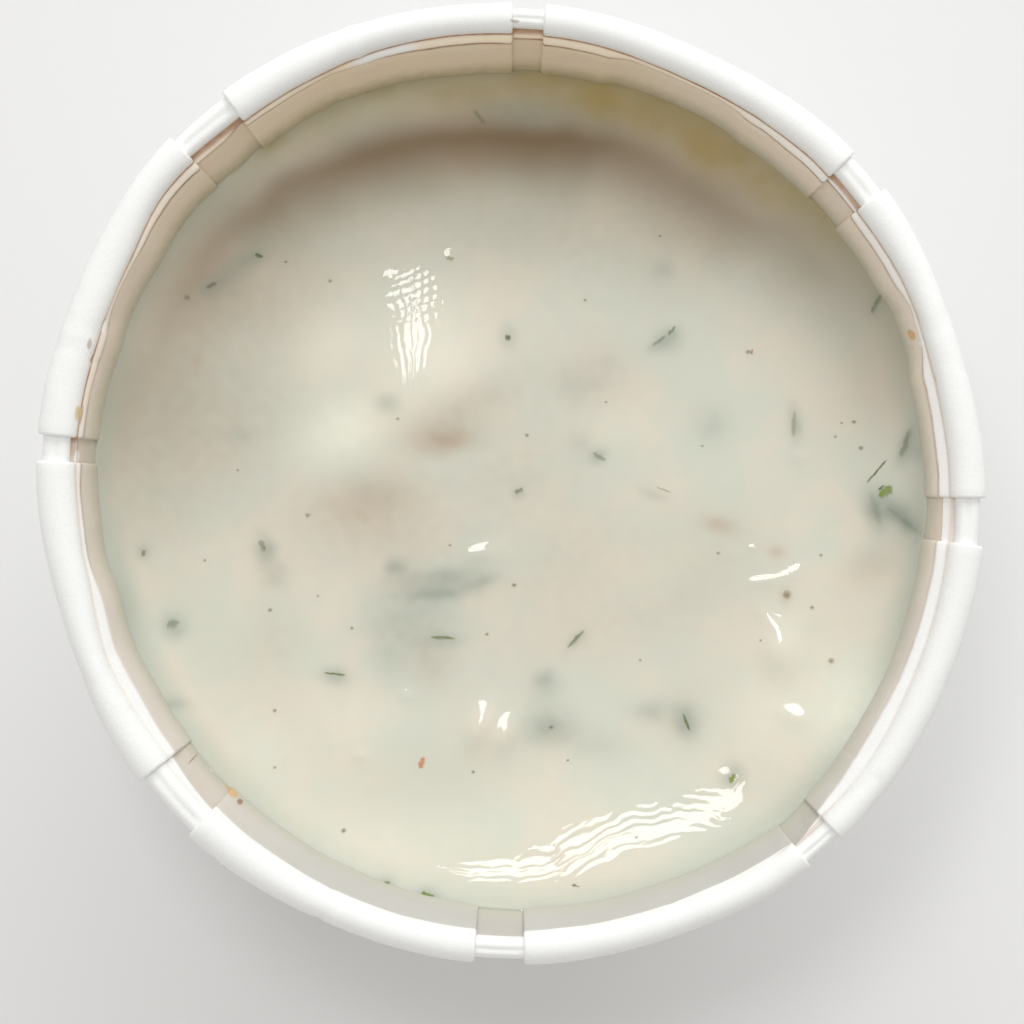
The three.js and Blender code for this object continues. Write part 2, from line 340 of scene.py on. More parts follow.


# %% [markdown]
# ## Where the dressing ends, where oil has crept and where shade is painted
# The dressing's edge climbs the wall to a different height all round. It matters for the paper too, because
# a smear of cream is left just above it, and the oil has crept up from there into the two creases and dyed
# them brown. That brown is also painted shadow in the creases, and the tan of the wall on the far side and
# on the ledge there is partly painted shade.

# %% Edge of the dressing, and oil and painted shade by the creases and the wall
EDGE_LEVELS = [
    (0, 31.2), (30, 30.2), (60, 29.2), (90, 28.1), (120, 28.7), (145, 29.4), (170, 31), (195, 30.4),
    (215, 29.9), (235, 29), (255, 29.4), (275, 30.3), (300, 30.3), (325, 31.6), (345, 31.1),
]
# Brown in the crease under the roll: oil, and painted crease shadow.
OIL_AND_SHADOW_UNDER_ROLL = [
    (0, 0.35), (18, 0.45), (28, 0.6), (45, 0.85), (60, 1), (75, 0.9), (90, 0.95), (105, 0.9), (112, 0.7),
    (128, 0.9), (148, 0.7), (156, 0.35), (163, 0.9), (174, 0.8), (178, 0.3), (190, 0.25), (230, 0),
    (304, 0), (309, 0.4), (314, 0.3), (320, 0.1), (350, 0.2),
]
# Brown in the crease under the ledge: oil, and painted crease shadow.
OIL_AND_SHADOW_UNDER_LEDGE = [
    (0, 0.5), (16, 0.5), (19, 0.1), (26, 0.5), (38, 0.6), (47, 0.9), (57, 0.9), (60, 0.3), (75, 0.7),
    (85, 1), (90, 0.6), (92, 1), (104, 0.9), (110, 0.2), (117, 0.9), (127, 1), (129, 0.3), (134, 0.3),
    (136, 1), (146, 0.9), (150, 0.2), (163, 0.3), (172, 0.5), (186, 0.3), (200, 0.05), (230, 0),
    (312, 0.05), (330, 0.2), (350, 0.3),
]
# How soaked the ledge is: oil, and painted shade where the ledge lies in shadow.
SOAKED_AND_SHADED_LEDGE = [
    (0, 0.15), (40, 0.3), (52, 0.45), (60, 0.8), (75, 0.9), (101, 0.85), (104, 0.1), (109, 0.1), (112, 0.9),
    (135, 0.7), (150, 0.8), (168, 0.95), (178, 0.6), (190, 0.25), (215, 0.1), (300, 0), (330, 0.1),
]
# Tan rather than grey below the ledge: oil, and painted shade on the far, shaded side.
TAN_AND_SHADE_SIDE = [
    (0, 0.9), (30, 0.9), (60, 1), (110, 1), (130, 0.9), (160, 0.65), (180, 0.5), (215, 0.4), (250, 0),
    (300, 0), (335, 0.45),
]
OILINESS = [
    (0, 0.05), (40, 0.3), (62, 0.45), (80, 1), (112, 1), (130, 0.8), (160, 0.4), (180, 0.25), (215, 0.1),
    (250, 0), (330, 0),
]
CUP_NUMBERS = [
    "oily_side", "tan_and_shade_side", "food_side", "soaked_and_shaded", "channel", "past_roll_crease", "past_ledge_crease",
    "oil_and_shadow_under_roll", "oil_and_shadow_under_ledge", "above_edge",
]
OUTSIDE_NUMBERS = (0.0, 0.0, 0.0, 0.0, 0.0, 9.0, 9.0, 0.0, 0.0, 9.0)


def lengths(path):
    """How far along the section each of its points is."""
    along = [0.0]
    for before, after in zip(path, path[1:]):
        along.append(along[-1] + (after - before).length)
    return along


def cup_place():
    """The function that says where each vertex of the cup's grid goes."""
    sections = {}

    def place(number, row):
        column = COLUMNS[number]
        is_outer = row < PATH_ROWS
        index = row if is_outer else 2 * PATH_ROWS - 1 - row
        stands_at = column.degrees + math.degrees(column.reach * OVERLAP_AT_RIM / RIM_RADIUS)
        key = round(stands_at % 360, 3)
        if key not in sections:
            path = section(key)
            sections[key] = (path, away_from_food(path), lengths(path))
        path, away, along = sections[key]
        point, direction = path[index], away[index]
        height = point.y / CUP_HEIGHT
        folded = smooth(LAYERS_START, LAYERS_FADE_IN, height)
        layer = mix(1, column.outer_layer, folded) if is_outer else column.inner_layer * folded
        shift = column.outer_shift if is_outer else column.inner_shift
        offset = column.reach * mix(OVERLAP_AT_BASE, OVERLAP_AT_RIM, height) + shift * mix(0.4, 1, height)
        degrees = column.degrees + math.degrees(offset / max(point.x, BASE_RADIUS / 2))
        up_roll = (index - LEDGE_TOP_ROW) / ROLL_ROWS
        pinch = PINCH * math.exp(-((up_roll - PINCH_AT) / PINCH_WIDTH) ** 2) if column.inner_layer == 2 else 0
        through = layer * layer_thickness(point.y) + paper_push(degrees, point) + pinch
        radius = point.x + direction.x * through + squeezed(degrees, point.y) if index else 0.0
        turn = math.radians(degrees)
        spot = Vector((radius * math.cos(turn), radius * math.sin(turn), point.y + direction.y * through))
        if is_outer:
            return spot, OUTSIDE_NUMBERS
        below_ledge = 1 - smooth(WALL_TOP_ROW - 0.5, WALL_TOP_ROW + 1.5, index)
        on_ledge = 1 - smooth(LEDGE_TOP_ROW - 1.0, LEDGE_TOP_ROW + 1.0, index)
        return spot, (
            round_the_rim(OILINESS, degrees),
            round_the_rim(TAN_AND_SHADE_SIDE, degrees),
            1.0,
            mix(round_the_rim(SOAKED_AND_SHADED_LEDGE, degrees) * on_ledge, 1, below_ledge),
            column.inner_layer / 2,
            along[index] - along[LEDGE_TOP_ROW],
            along[index] - along[WALL_TOP_ROW],
            round_the_rim(OIL_AND_SHADOW_UNDER_ROLL, degrees),
            round_the_rim(OIL_AND_SHADOW_UNDER_LEDGE, degrees),
            point.y - round_the_rim(EDGE_LEVELS, degrees),
        )

    return place


cup_mesh = wrap(len(COLUMNS), 2 * PATH_ROWS - 1, cup_place(), CUP_NUMBERS)
corners = [vertex.co for vertex in cup_mesh.verts]
AXIS = Vector([-(min(c[i] for c in corners) + max(c[i] for c in corners)) / 2 for i in range(2)] + [0])
print("cup:", len(cup_mesh.faces), "faces, moved by", [round(v, 3) for v in AXIS], "mm to centre its outline")


# %% From a shape in millimetres to a piece of the object
def put_in_scene(name, data):
    """Makes an object and puts it in the scene."""
    made = bpy.data.objects.new(name, data)
    bpy.context.scene.collection.objects.link(made)
    return made


def piece(name, mesh, smooth_angle=40):
    """Centres the mesh on the outline, scales it to metres and makes it a piece that rides on the object."""
    bmesh.ops.translate(mesh, verts=mesh.verts, vec=AXIS)
    bmesh.ops.scale(mesh, verts=mesh.verts, vec=(MM, MM, MM))
    for face in mesh.faces:
        face.smooth = True
    for edge in mesh.edges:
        if len(edge.link_faces) == 2 and edge.calc_face_angle(0) > math.radians(smooth_angle):
            edge.smooth = False
    data = bpy.data.meshes.new(name)
    mesh.to_mesh(data)
    mesh.free()
    made = put_in_scene(name, data)
    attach(made, "root")
    print(name, "has", len(data.polygons), "faces")
    return made


# %% The finished cup
cup = piece("portion_cup", cup_mesh)
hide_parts("paper_cup")

# %% [markdown]
# ## Finding a spot of the photograph on the dressing
# The photograph looks straight down, so a spot in it is also a place on the cup. The camera stands a little
# to one side of the cup's middle, which is why the cup isn't centred in the frame. What lies below the rim
# is further from the camera, so there a pixel stands for slightly more.

# %% Pixels to millimetres
FRAME_PX = 1024
CUP_MIDDLE_PX = Vector((511.0, 483.5))
MM_PER_PX_AT_RIM = 0.0749
CAMERA_ABOVE_RIM = 290.0
FRAME_MIDDLE_PX = FRAME_PX / 2
CAMERA_PX_FROM_AXIS = Vector((FRAME_MIDDLE_PX - CUP_MIDDLE_PX.x, CUP_MIDDLE_PX.y - FRAME_MIDDLE_PX, 0))
CAMERA_FROM_AXIS = CAMERA_PX_FROM_AXIS * MM_PER_PX_AT_RIM
LEVEL = 27.8


def on_photo(px, py, level=LEVEL):
    """The place in millimetres from the cup's axis of a pixel of the photograph, at a level."""
    mm_per_px = MM_PER_PX_AT_RIM * (CAMERA_ABOVE_RIM + CUP_HEIGHT - level) / CAMERA_ABOVE_RIM
    return CAMERA_FROM_AXIS + Vector((px - FRAME_MIDDLE_PX, FRAME_MIDDLE_PX - py, 0)) * mm_per_px


print("one pixel is", round((on_photo(1, 0) - on_photo(0, 0)).x, 4), "mm on the dressing")

# %% [markdown]
# ## The dressing's surface
# A thick dressing keeps the marks of the spoon. It climbs at the wall, and on the far side a trough runs
# along a bank that stands against the paper. Mounds, hollows, coated lumps and drops are soft bells, each
# with a middle, two half widths, a turn and a height. Their slopes are what catches the lamp, so they are
# placed where the photograph shows its reflections.

# %% Marks on the surface
BANK_REACHES = [(0, 3.4), (240, 3.4), (262, 3), (285, 4.4), (302, 4.2), (330, 3.4)]
BANK_SHARES = [
    (0, 0.85), (235, 0.85), (262, 0.54), (272, 0.66), (287, 0.98), (300, 0.93), (312, 0.85), (330, 0.85),
]
MENISCUS_REACH = 0.6
TROUGH_AT, TROUGH_SPREAD = 84, 62
TROUGH_DEPTH, TROUGH_FROM_WALL, TROUGH_WIDTH = 0.1, 6.0, 3.5

Mark = namedtuple("Mark", "px py long wide turn height")
MARKS = [Mark(*row) for row in [
    (417, 389, 4, 6.2, -4, 1.1), (378, 328, 2, 2, 0, -0.12), (412, 372, 1.8, 3, 0, -0.1),
    (391, 279, 0.4, 0.4, 0, 0.06), (450, 256, 0.3, 0.4, 0, 0.06), (338, 438, 5.5, 4, 20, 0.22),
    (446, 442, 4.5, 2.2, 10, -0.22), (378, 505, 4, 2.4, 0, -0.2), (443, 574, 3.9, 1.7, 4, 0.16),
    (740, 612, 8, 5.5, 70, 0.6), (520, 118, 3.4, 1.4, -4, 0.15), (893, 508, 2.4, 1.3, -48, 0.1),
    (665, 342, 1.5, 1, 20, 0.06), (265, 555, 1.2, 1.9, 0, 0.08), (235, 272, 2.2, 1.2, 25, 0.08),
    (686, 716, 1.6, 1.6, 0, 0.08), (552, 725, 2.2, 1.6, 0, 0.08), (484, 552, 1.3, 0.6, 12, 0.12),
    (815, 590, 4, 5, 0, 0.45), (762, 582, 1.3, 0.4, 8, 0.07), (792, 574, 1.5, 0.4, 26, 0.06),
    (765, 617, 1.4, 0.5, 135, 0.08), (781, 652, 2.2, 1.6, 90, 0.72), (791, 716, 1.3, 0.7, -12, 0.15),
    (479, 728, 1.8, 1, 66, 0.46), (505, 736, 1.6, 1, 66, 0.42), (408, 695, 0.6, 0.5, 0, 0.1),
    (360, 756, 0.6, 0.5, 0, 0.1), (725, 775, 0.5, 0.5, 0, 0.09), (800, 457, 0.5, 0.5, 0, 0.1),
    (753, 549, 0.25, 0.25, 0, 0.035), (437, 132, 0.35, 0.4, 0, 0.1), (508, 140, 0.45, 0.4, 0, 0.1),
    (538, 135, 0.35, 0.4, 0, 0.1), (555, 850, 2, 1.6, 0, 0.06), (605, 800, 3, 2, 0, -0.08),
    (648, 812, 2, 1.6, 0, 0.06), (610, 880, 2.5, 1.6, 0, 0.06), (648, 860, 2.4, 1.4, 20, 0.07),
]]
BELL_ENDS = 3.4
SWELLS = [(11, 0.12, 2.0), (4, 0.03, 5.0)]
WALL_RADIUS_AT_RIM = 33.9


def angle_on_rim(degrees, level):
    """Where the folded paper that stands at an angle at a level comes out on the rim."""
    share_up = level / CUP_HEIGHT
    radius = mix(BASE_RADIUS - PAPER, WALL_RADIUS_AT_RIM, share_up)
    shift = math.degrees(mix(OVERLAP_AT_BASE, OVERLAP_AT_RIM, share_up) / radius)
    rim_shift = math.degrees(OVERLAP_AT_RIM / RIM_RADIUS)
    for pleat, following in zip(PLEATS, PLEATS[1:] + PLEATS[:1]):
        panel, into = (following.start - pleat.end) % 360, (degrees - pleat.end) % 360
        if into < shift:
            return pleat.end + rim_shift * into / shift
        if into < panel - shift:
            return pleat.end + mix(rim_shift, panel - rim_shift, (into - shift) / (panel - 2 * shift))
        if into < panel:
            return following.start - rim_shift * (panel - into) / shift
    return degrees


def wall_at(degrees, level):
    """The food side of the wall at an angle and a level, outside the channels."""
    top = wall_top(angle_on_rim(degrees, level))
    cone = mix(BASE_RADIUS - PAPER, top.x, (level - PAPER) / (top.y - PAPER))
    return cone + squeezed(degrees, level) + paper_push(degrees, Vector((cone, level)))


@lru_cache(maxsize=None)
def set_out(mark):
    """A mark's middle, and the cosine and sine of its turn."""
    middle, turn = on_photo(mark.px, mark.py), math.radians(mark.turn)
    return middle.x, middle.y, math.cos(turn), math.sin(turn)


def in_mark(x, y, mark):
    """Where a place lies in a turned mark, in millimetres along it and across it."""
    middle_x, middle_y, cosine, sine = set_out(mark)
    dx, dy = x - middle_x, y - middle_y
    return dx * cosine + dy * sine, dy * cosine - dx * sine


def bell(x, y, mark):
    """A soft bell of height 1 over a mark, at a place on the surface."""
    along, across = in_mark(x, y, mark)
    far = (along / mark.long) ** 2 + (across / mark.wide) ** 2
    return math.exp(-far) if far < BELL_ENDS ** 2 else 0.0


EDGE_RADIUS = [wall_at(degrees, round_the_rim(EDGE_LEVELS, degrees)) for degrees in range(361)]


def from_wall(x, y):
    """How far a place on the surface is from the dressing's edge."""
    degrees = math.degrees(math.atan2(y, x)) % 360
    below = int(degrees)
    return max(mix(EDGE_RADIUS[below], EDGE_RADIUS[below + 1], degrees - below) - math.hypot(x, y), 0.0)


def trough(x, y):
    """How strongly the trough is felt at a place."""
    degrees = math.degrees(math.atan2(y, x))
    side = 1 - smooth(0, TROUGH_SPREAD, abs(apart(degrees, TROUGH_AT)))
    return side * math.exp(-((from_wall(x, y) - TROUGH_FROM_WALL) / TROUGH_WIDTH) ** 2)


def surface(x, y):
    """The height of the dressing at a place."""
    degrees = math.degrees(math.atan2(y, x))
    gap, share = from_wall(x, y), round_the_rim(BANK_SHARES, degrees)
    climb = share * math.exp(-gap / round_the_rim(BANK_REACHES, degrees))
    climb += (1 - share) * math.exp(-gap / MENISCUS_REACH)
    level = mix(LEVEL, round_the_rim(EDGE_LEVELS, degrees), climb) - TROUGH_DEPTH * trough(x, y)
    level += sum(mark.height * bell(x, y, mark) for mark in MARKS) * (1 - climb)
    swell = sum(noise.noise(Vector((x / size, y / size, seed))) * height for size, height, seed in SWELLS)
    return level + swell * (1 - climb)


across = [surface(x, 0) for x in range(-31, 32)]
print("from side to side the surface runs from", round(min(across), 2), "to", round(max(across), 2), "mm")

# %% [markdown]
# ## The dressing as a mesh
# The same wrapped grid makes the dressing: its rows run out over the cup's floor, up beside the wall and back
# over the surface to the middle. Its edge reaches a hair into the paper, so no gap shows at the wall, and
# fills the channels too, easing out of them behind the folds where the paper is three layers thick. Lower
# down, where nothing shows, its side stays just clear of the thin paper, so that it can't come through.

# %% The dressing's body
DRESSING_COLUMNS = 600
SIDE_LEVELS = [8.0, 16.0, 24.0, 27.5]
SURFACE_ROWS = 124
INTO_PAPER = 0.07
SIDE_GAP = 0.1
EASE_OUT = 0.9


def channel_depth(degrees, level):
    """How much further out the dressing reaches because it fills a channel."""
    depth = 0.0
    for pleat in PLEATS:
        half = (pleat.end - pleat.start) / 2
        beyond = abs(apart(degrees, (pleat.start + pleat.end) / 2)) - half
        depth = max(depth, 1 - smooth(0, EASE_OUT, math.radians(beyond) * RIM_RADIUS))
    return depth * 2 * layer_thickness(level) * smooth(LAYERS_START, LAYERS_FADE_IN, level / CUP_HEIGHT)


def side_of_dressing(degrees):
    """(radius, level) pairs from beside the middle of the base to the edge of the surface."""
    low = [(point.x, point.y - INTO_PAPER) for point in section(degrees)[1:BASE_ROWS + CORNER_ROWS]]
    edge = round_the_rim(EDGE_LEVELS, degrees)
    high = [(wall_at(degrees, level) - SIDE_GAP, level) for level in SIDE_LEVELS]
    return low + high + [(wall_at(degrees, edge) + channel_depth(degrees, edge) + INTO_PAPER, edge)]


def dressing_place():
    """The function that says where each vertex of the dressing's grid goes."""
    sides = [side_of_dressing(360 * number / DRESSING_COLUMNS) for number in range(DRESSING_COLUMNS)]
    side_rows = len(sides[0])

    def place(number, row):
        turn = math.radians(360 * number / DRESSING_COLUMNS)
        if row == 0:
            return Vector((0, 0, PAPER - INTO_PAPER)), ()
        if row <= side_rows:
            radius, level = sides[number][row - 1]
            return Vector((radius * math.cos(turn), radius * math.sin(turn), level)), ()
        radius = sides[number][-1][0] * (1 - (row - side_rows) / SURFACE_ROWS)
        x, y = radius * math.cos(turn), radius * math.sin(turn)
        return Vector((x, y, surface(x, y))), ()

    return place, side_rows + SURFACE_ROWS


dressing_spot, dressing_rows = dressing_place()
dressing_mesh = wrap(DRESSING_COLUMNS, dressing_rows, dressing_spot, [])
print("dressing:", len(dressing_mesh.faces), "faces,", round(dressing_mesh.calc_volume() / 1000, 1), "ml")

# %% [markdown]
# ## Colour in the dressing, painted shade and painted light
# Where a herb is sunk just under the surface, or the sauce is thin or oily, the cream changes colour without
# an edge. An image could carry that, but numbers on the vertices do it without one. One set of stains is the
# cool green-grey of sunk herbs, one the warm brown smudges, one the pale fresh cream, which in the south also
# paints a pool of light, and one the yellow oil. One more set is painted soft shade. Three more numbers follow
# the wall: the thin film at the edge, the oily bank at the far side and a painted shade at the foot of that
# bank, where the rim shades the cream. The material then mixes its colours by them.

# %% Stains, painted shade and painted light on the dressing
Stain = namedtuple("Stain", "px py long wide turn strength")
SUNK_HERBS = [Stain(*row) for row in [
    (896, 515, 2.2, 1.3, -42, 0.6), (874, 511, 0.8, 1.5, 12, 0.75), (903, 522, 2, 0.5, -42, 0.6),
    (903, 446, 0.45, 1.5, -16, 0.7), (913, 452, 1, 0.9, 0, 0.35), (236, 269, 2.4, 0.85, 38, 0.5),
    (212, 286, 0.9, 0.6, 20, 0.45), (252, 258, 1, 0.6, 15, 0.45), (668, 340, 1.1, 0.9, 20, 0.5),
    (658, 344, 0.9, 0.5, 35, 0.35), (672, 332, 0.6, 0.4, 50, 0.4), (663, 270, 0.9, 0.9, 0, 0.3),
    (508, 337, 0.7, 0.9, 0, 0.35), (388, 404, 1, 0.8, 0, 0.4), (265, 550, 0.8, 1.3, 12, 0.65),
    (276, 574, 1.1, 1.1, 0, 0.3), (175, 626, 0.9, 0.9, 0, 0.6), (178, 703, 0.9, 0.5, 0, 0.4),
    (795, 424, 0.55, 1.4, 5, 0.45), (598, 456, 0.8, 0.6, 20, 0.5), (580, 443, 1, 1, 0, 0.2),
    (335, 676, 1.1, 0.7, -8, 0.5), (444, 640, 1.4, 0.6, 0, 0.4), (577, 640, 1.1, 0.5, 46, 0.35),
    (543, 680, 0.8, 0.7, 30, 0.5), (550, 726, 2.2, 1.5, 5, 0.5), (686, 722, 0.8, 1.2, 15, 0.6),
    (684, 718, 1.9, 1.6, 90, 0.3), (650, 712, 1.4, 0.9, 0, 0.35), (733, 776, 0.9, 1.1, 0, 0.5),
    (428, 893, 0.9, 0.5, -10, 0.6), (386, 882, 0.7, 0.5, 0, 0.5), (145, 552, 0.5, 0.6, 0, 0.4),
    (518, 492, 0.5, 0.5, 0, 0.45), (874, 304, 0.5, 1.2, -20, 0.4), (440, 578, 3.4, 1.4, 3, 0.7),
    (436, 594, 2.3, 0.4, 2, 0.5), (478, 583, 1.4, 0.4, 20, 0.5), (396, 568, 0.8, 0.7, 10, 0.6),
    (410, 620, 3.2, 2.2, 0, 0.3), (390, 655, 1.6, 2.4, 0, 0.2), (520, 112, 3.6, 1.1, -4, 0.4),
    (712, 425, 1.6, 1.6, 0, 0.25), (600, 370, 2, 2, 0, 0.2), (575, 385, 1.6, 1.4, 0, 0.22),
    (655, 495, 1.2, 0.5, -20, 0.25), (240, 436, 0.8, 0.6, 0, 0.25), (545, 690, 1.4, 1.4, 0, 0.25),
    (125, 610, 1, 4, 5, 0.3), (600, 745, 2.6, 1.4, 0, 0.2), (550, 727, 0.5, 0.5, 0, 0.3),
]]
WARM_SMUDGES = [Stain(*row) for row in [
    (445, 440, 2.3, 1.1, 6, 0.9), (378, 497, 3.4, 1.8, -2, 0.5), (430, 662, 1.9, 2.2, 0, 0.35),
    (720, 525, 1.4, 0.7, -10, 0.6), (776, 552, 0.7, 0.5, 0, 0.5), (197, 361, 0.5, 0.5, 0, 0.5),
    (470, 405, 4.6, 1.6, 25, 0.35), (700, 560, 7, 4.5, 20, 0.28), (560, 560, 5, 3, 30, 0.2),
    (200, 440, 6, 5, 0, 0.25), (430, 780, 7, 3.2, 10, 0.18), (215, 650, 3.5, 5.5, 20, 0.1),
    (275, 640, 2.5, 3.5, 0, 0.22), (180, 285, 2.5, 4, -35, 0.16), (870, 565, 2.5, 1.5, 30, 0.35),
    (355, 516, 3.5, 1.6, -12, 0.35), (785, 596, 0.5, 0.7, 0, 0.4),
]]
# Pale fresh cream; the broad ones in the south also paint a pool of light.
FRESH_CREAM_AND_LIGHT = [Stain(*row) for row in [
    (350, 430, 4.2, 2.6, 30, 0.8), (440, 355, 3.2, 3.2, 60, 0.4), (330, 350, 3.4, 2.4, 40, 0.3),
    (442, 570, 2.2, 0.8, 6, 0.6), (660, 570, 4.5, 2, 30, 0.3), (780, 690, 5.5, 3.4, 55, 0.5),
    (400, 840, 6.5, 2.6, -10, 0.3), (615, 430, 3.4, 2, 20, 0.2), (360, 722, 4, 2.2, 0, 0.25),
    (850, 710, 4, 3.2, 50, 0.8), (470, 815, 17, 5.5, 0, 0.4), (260, 742, 3, 2, -40, 0.35),
]]
OILY_BANK = [Stain(*row) for row in [
    (272, 138, 1.1, 1.6, -40, 0.9), (385, 84, 2.2, 1, 25, 0.7), (600, 98, 2, 1.3, -25, 1),
    (705, 152, 2.6, 1.6, -38, 0.75), (545, 78, 2.4, 0.8, 0, 0.5), (470, 92, 3.4, 1.4, 8, 0.35),
    (800, 210, 3.6, 1.6, -50, 0.3), (330, 112, 3.4, 1.4, 32, 0.35), (640, 120, 2.5, 1.4, -30, 0.5),
]]
# Painted soft shade over the cream, not a stain.
SHADED = [Stain(*row) for row in [
    (225, 390, 9, 8, 0, 0.55), (150, 470, 5.5, 8, 0, 0.45), (150, 340, 3, 6, -30, 0.12),
    (530, 235, 17, 5, 0, 0.45), (510, 475, 7, 5, 0, 0.4), (420, 620, 6, 4, 0, 0.25),
    (265, 295, 6.5, 3.2, 28, 0.5), (405, 540, 5.5, 2.4, 0, 0.4), (600, 620, 9, 4, 20, 0.25),
    (330, 530, 6, 4, 0, 0.3), (600, 380, 7, 5, 0, 0.25), (118, 420, 1.6, 4.5, -5, 0.6),
]]
FILM_WIDTH = 2.2
BANK_WANDER = 0.35
BANK_WIDTHS = [
    (0, 0), (28, 0.2), (40, 1.2), (50, 3), (60, 3.2), (72, 2.9), (84, 3.3), (100, 3.1), (113, 2.9),
    (123, 2.3), (130, 1.7), (140, 1.2), (152, 1), (170, 0.8), (195, 0),
]
BANK_STRENGTHS = [(0, 0), (40, 0.9), (75, 1), (100, 0.66), (113, 0.5), (127, 0.32), (150, 0.3), (190, 0)]
BANK_BLUR = 1.9
# The bank's foot is painted shade, where the rim shades the cream.
FOOT_SHARES = [
    (0, 0.05), (20, 0.34), (38, 0.55), (60, 0.74), (84, 1), (110, 0.95), (128, 0.82), (142, 0.64),
    (160, 0.35), (180, 0.1), (215, 0),
]
FOOT_DARK, FOOT_FADED = 8.0, 14.5
STAIN_RAGGED, STAIN_GRAIN = 0.25, 0.9
STAINS = {
    "sunk_herb": SUNK_HERBS, "warm": WARM_SMUDGES, "fresh_and_lit": FRESH_CREAM_AND_LIGHT, "oily": OILY_BANK, "shaded": SHADED,
}
SURFACE_FROM = LEVEL - 1.5


def number_the_surface(names, numbers_at):
    """Writes numbers_at(x, y), one number for each name, onto the vertices of the surface."""
    layers = [dressing_mesh.verts.layers.float.new(name) for name in names]
    for vertex in dressing_mesh.verts:
        if vertex.co.z > SURFACE_FROM:
            for layer, number in zip(layers, numbers_at(vertex.co.x, vertex.co.y)):
                vertex[layer] = number
    print("written onto the surface:", ", ".join(names))


def stain_at(x, y, stains):
    """The strongest stain at a place, each one a bell with a ragged edge."""
    ragged = 1 + STAIN_RAGGED * noise.noise(Vector((x / STAIN_GRAIN, y / STAIN_GRAIN, 11.0)))
    clear = 1.0
    for stain in stains:
        clear *= 1 - min(stain.strength * bell(x, y, stain) * ragged, 1.0)
    return 1 - clear


def along_the_wall(x, y):
    """How much of the film, of the bank and of the painted shade at the bank's foot there is at a place."""
    gap, degrees = from_wall(x, y), math.degrees(math.atan2(y, x))
    width = round_the_rim(BANK_WIDTHS, degrees) + BANK_WANDER * noise.noise(Vector((x / 3.0, y / 3.0, 7.0)))
    beyond = gap - max(width, 0.0)
    past_bank = smooth(-BANK_BLUR, BANK_BLUR, beyond)
    dark = 0.6 * (1 - smooth(0.8, FOOT_DARK, beyond)) + 0.4 * (1 - smooth(1.0, FOOT_FADED, beyond))
    foot = min(round_the_rim(FOOT_SHARES, degrees) * past_bank * dark, 1.0)
    return 1 - smooth(0.0, FILM_WIDTH, gap), round_the_rim(BANK_STRENGTHS, degrees) * (1 - past_bank), foot


number_the_surface(list(STAINS), lambda x, y: [stain_at(x, y, stains) for stains in STAINS.values()])
number_the_surface(["film", "bank", "foot"], along_the_wall)

# %% [markdown]
# ## Ripples
# Where the lamp is mirrored, its reflection is broken into a net and into fine lines, as by ripples in the
# skin of the cream. They are less than a hundredth of a millimetre high, too shallow for the mesh, so they
# are left to the material's bump. Each vertex only says how many waves it is across its patch and how high
# they are there. Patches that touch are in different sets, so that where two overlap their waves add up and
# make the net.

# %% Ripples
Ripple = namedtuple("Ripple", "px py long wide turn apart depth")
RIPPLES = {
    "first": [
        Ripple(416, 328, 10.5, 5.0, 92, 0.62, 5.6), Ripple(488, 880, 6.4, 4.0, 1, 0.62, 5.0),
        Ripple(592, 846, 7.0, 5.0, 30, 0.7, 5.8), Ripple(704, 812, 5.5, 4.0, -6, 0.7, 5.4),
    ],
    "second": [
        Ripple(417, 300, 5.0, 5.0, 24, 0.66, 5.2), Ripple(542, 868, 4.4, 4.0, 15, 0.62, 5.0),
        Ripple(652, 824, 5.0, 3.5, 6, 0.7, 5.5), Ripple(746, 782, 3.6, 3.0, 60, 0.7, 3.0),
    ],
}
RIPPLE_UNIT = 0.001
RIPPLE_WANDER = 0.8
RIPPLE_RAGGED = 0.3
RIPPLE_FADES, RIPPLE_ENDS = 0.75, 1.1


def in_patch(x, y, ripple):
    """How far out a place is in a ripple's oval patch, 1 at its rim, and how many waves it is across."""
    along, across = in_mark(x, y, ripple)
    wander = RIPPLE_WANDER * noise.noise(Vector((x / 1.9, y / 1.9, 3.0)))
    wander += RIPPLE_RAGGED * noise.noise(Vector((x / 0.7, y / 0.7, 6.0)))
    return math.hypot(2 * along / ripple.long, 2 * across / ripple.wide), across / ripple.apart + wander


def ripples_at(x, y):
    """How many waves a place is across the nearest patch of each set, and how high they are there."""
    numbers = []
    for ripples in RIPPLES.values():
        nearest = min(ripples, key=lambda ripple: in_patch(x, y, ripple)[0])
        out, waves = in_patch(x, y, nearest)
        numbers += [waves, nearest.depth * (1 - smooth(RIPPLE_FADES, RIPPLE_ENDS, out))]
    return numbers


number_the_surface([f"{name}_{number}" for name in RIPPLES for number in ("wave", "depth")], ripples_at)
deepest = max(ripple.depth for ripples in RIPPLES.values() for ripple in ripples)
print("the ripples rise up to", deepest * RIPPLE_UNIT, "mm")

# %% The finished dressing
dressing = piece("dressing", dressing_mesh)
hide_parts("ranch_dressing")

# %% [markdown]
# ## Herbs, pepper and spice
# Each chopped herb lies flush in the dressing. One long edge is bare and the rest fades under the cream,
# which is why most of them show as a dark mark with a soft grey side. A bit is a small grid cut to a ragged
# leaf outline, given the thickness of a leaf and laid onto the surface. A number on its vertices says how
# bare it is there, and the material lets the cream show through by it. All bits of one kind are joined in
# one mesh.

